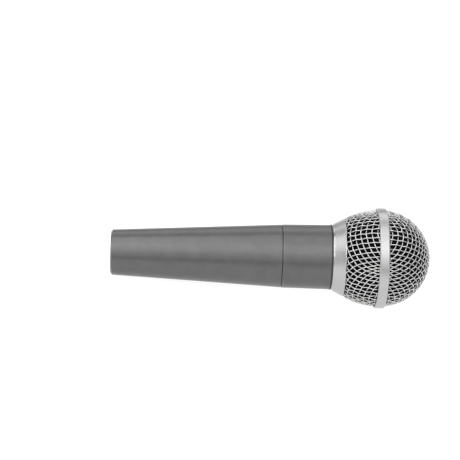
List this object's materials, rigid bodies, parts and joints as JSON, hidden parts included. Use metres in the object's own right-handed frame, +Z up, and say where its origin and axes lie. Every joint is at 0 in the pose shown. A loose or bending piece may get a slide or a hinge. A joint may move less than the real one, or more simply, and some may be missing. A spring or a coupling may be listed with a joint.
{
  "type": "dynamic microphone",
  "caption": "Handheld vocal microphone with a woven-wire ball grille that unscrews, a charcoal housing, a tapered handle and a pin connector in its tail.",
  "frame": {"origin": "centre of the bounding box in x and y, on the plane that the microphone lies on", "axes": "+Z up; the microphone lies on its side, resting on the grille's band and the tail's rim, with its axis in the XZ plane and +X towards the ball grille; the axis rises by about 6 degrees towards the grille"},
  "size_m": [0.1624, 0.051, 0.0511],
  "materials": {
    "charcoal_enamel": "satin enamel on die-cast zinc, fine texture",
    "satin_nickel": "bead-blasted nickel plate",
    "woven_wire": "nickel-plated woven steel wire",
    "black_foam": "open-cell foam",
    "black_rubber": "soft moulded rubber",
    "black_plastic": "moulded black plastic",
    "plated_contact": "silver-plated brass contact",
    "brass_lug": "tinned brass",
    "black_screw": "blackened steel",
    "lamination_steel": "stacked transformer steel",
    "copper_winding": "enamelled copper wire",
    "potting_wax": "translucent amber potting",
    "red_lead": "insulated lead",
    "black_lead": "insulated lead",
    "yellow_lead": "insulated lead",
    "plated_steel": "zinc-plated steel",
    "magnet_grey": "sintered magnet",
    "screen_cloth": "fine acoustic cloth",
    "board_green": "glass-fibre board",
    "clear_film": "thin formed film"
  },
  "bodies": {
    "handle": {"handle_shell": "charcoal_enamel", "connector_insert": "black_plastic", "contact_pin_1": "plated_contact", "contact_pin_2": "plated_contact", "contact_pin_3": "plated_contact", "insert_set_screw": "black_screw", "transformer_core": "lamination_steel", "transformer_winding": "copper_winding", "transformer_potting": "potting_wax", "cartridge_lead_1": "red_lead", "cartridge_lead_2": "black_lead", "output_lead_1": "black_lead", "output_lead_2": "red_lead", "output_lead_3": "yellow_lead"},
    "head_gasket": {"head_seal_ring": "black_rubber"},
    "head": {"front_housing": "charcoal_enamel", "shock_mount": "black_rubber", "mount_retainer": "black_plastic"},
    "cartridge": {"yoke_cup": "plated_steel", "magnet": "magnet_grey", "pole_piece": "plated_steel", "top_plate": "plated_steel", "capsule_frame": "black_plastic", "resonator_cap": "black_plastic", "front_screen": "screen_cloth", "rear_chamber": "black_plastic", "terminal_board": "board_green", "solder_lugs": "brass_lug"},
    "moving_coil": {"diaphragm": "clear_film", "voice_coil": "copper_winding"},
    "grille_gasket": {"grille_seal_ring": "black_rubber"},
    "grille_foam": {"foam_liner": "black_foam"},
    "grille": {"grille_collar": "satin_nickel", "grille_band": "satin_nickel", "grille_mesh_front": "woven_wire", "grille_mesh_rear": "woven_wire"}
  },
  "joints": [
    {"name": "head_turn", "type": "hinge", "parent": "head_gasket", "child": "head", "pos_m": [0.00606, 0, 0.02036], "axis": [0.9946, 0, 0.104], "range_deg": [0, 1260]},
    {"name": "head_lift", "type": "slide", "parent": "handle", "child": "head_gasket", "axis": [0.9946, 0, 0.104], "range_m": [0, 0.00438], "deforming": ["cartridge_lead_1", "cartridge_lead_2"]},
    {"name": "cartridge_float", "type": "slide", "parent": "head", "child": "cartridge", "axis": [0.9946, 0, 0.104], "range_m": [-0.0008, 0.0008], "stiffness_N_per_m": 900, "deforming": ["shock_mount"]},
    {"name": "diaphragm_travel", "type": "slide", "parent": "cartridge", "child": "moving_coil", "axis": [0.9946, 0, 0.104], "range_m": [-0.0003, 0.0003], "stiffness_N_per_m": 300},
    {"name": "grille_pull_off", "type": "slide", "parent": "head", "child": "grille_gasket", "axis": [0.9946, 0, 0.104], "range_m": [0, 0.045]},
    {"name": "grille_lift", "type": "slide", "parent": "grille_gasket", "child": "grille_foam", "axis": [0.9946, 0, 0.104], "range_m": [0, 0.00438]},
    {"name": "grille_turn", "type": "hinge", "parent": "grille_foam", "child": "grille", "pos_m": [0.03092, 0, 0.02296], "axis": [0.9946, 0, 0.104], "range_deg": [0, 1260]}
  ],
  "couplings": [
    {"joint": "head_lift", "follows": "head_turn", "m_per_rad": 0.00019894},
    {"joint": "grille_lift", "follows": "grille_turn", "m_per_rad": 0.00019894}
  ]
}
